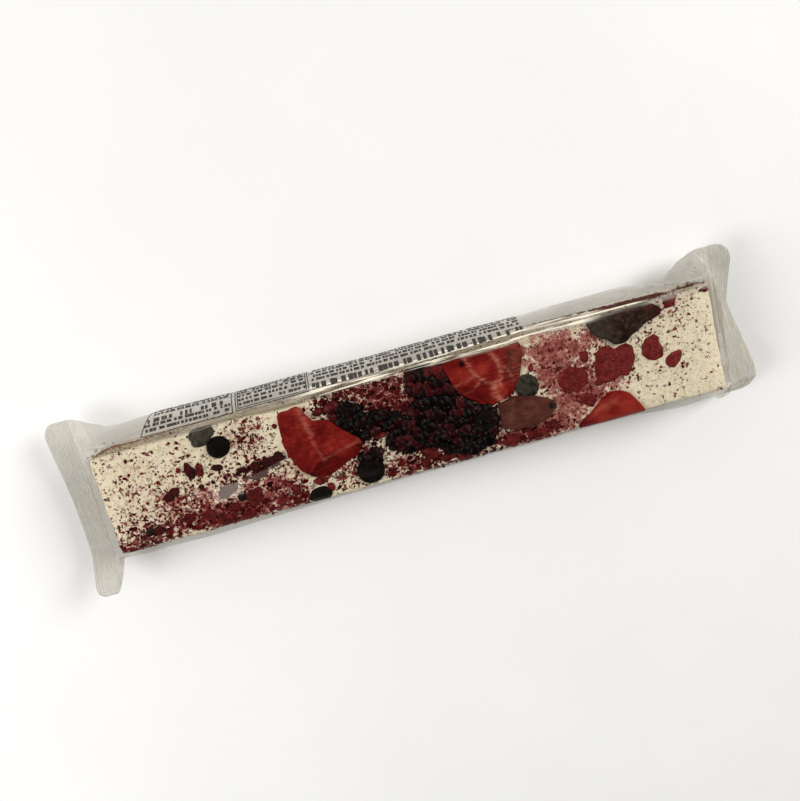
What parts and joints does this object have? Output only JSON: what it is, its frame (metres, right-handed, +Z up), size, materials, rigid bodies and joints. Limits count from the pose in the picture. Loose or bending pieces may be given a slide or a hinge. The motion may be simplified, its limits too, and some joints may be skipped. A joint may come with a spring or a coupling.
{
  "type": "nougat bar",
  "caption": "Soft nougat bar topped with dried forest fruit and fruit crumbs, sealed in a loose clear film wrapper with wide, flat, crimped ends.",
  "frame": {"origin": "middle of the flat underside, at the centre of the pack's footprint", "axes": "+X along the bar towards the seal that hangs down in its middle, +Y towards the long side with the printed panel, +Z up through the fruit-covered face"},
  "size_m": [0.227, 0.0583, 0.0205],
  "materials": {
    "clear_film": "glossy clear film; the colour is that of the cream nougat and red fruit that show through it",
    "nougat": "matt soft nougat, cream, with fine fruit specks",
    "red_fruit": "matt freeze-dried strawberry and raspberry",
    "dark_fruit": "satin dried dark berries",
    "fruit_crumb": "matt dry fruit crumbs and powder",
    "print_ink": "flat dark ink"
  },
  "bodies": {
    "root": {"sealed_pack": "clear_film"}
  },
  "joints": []
}
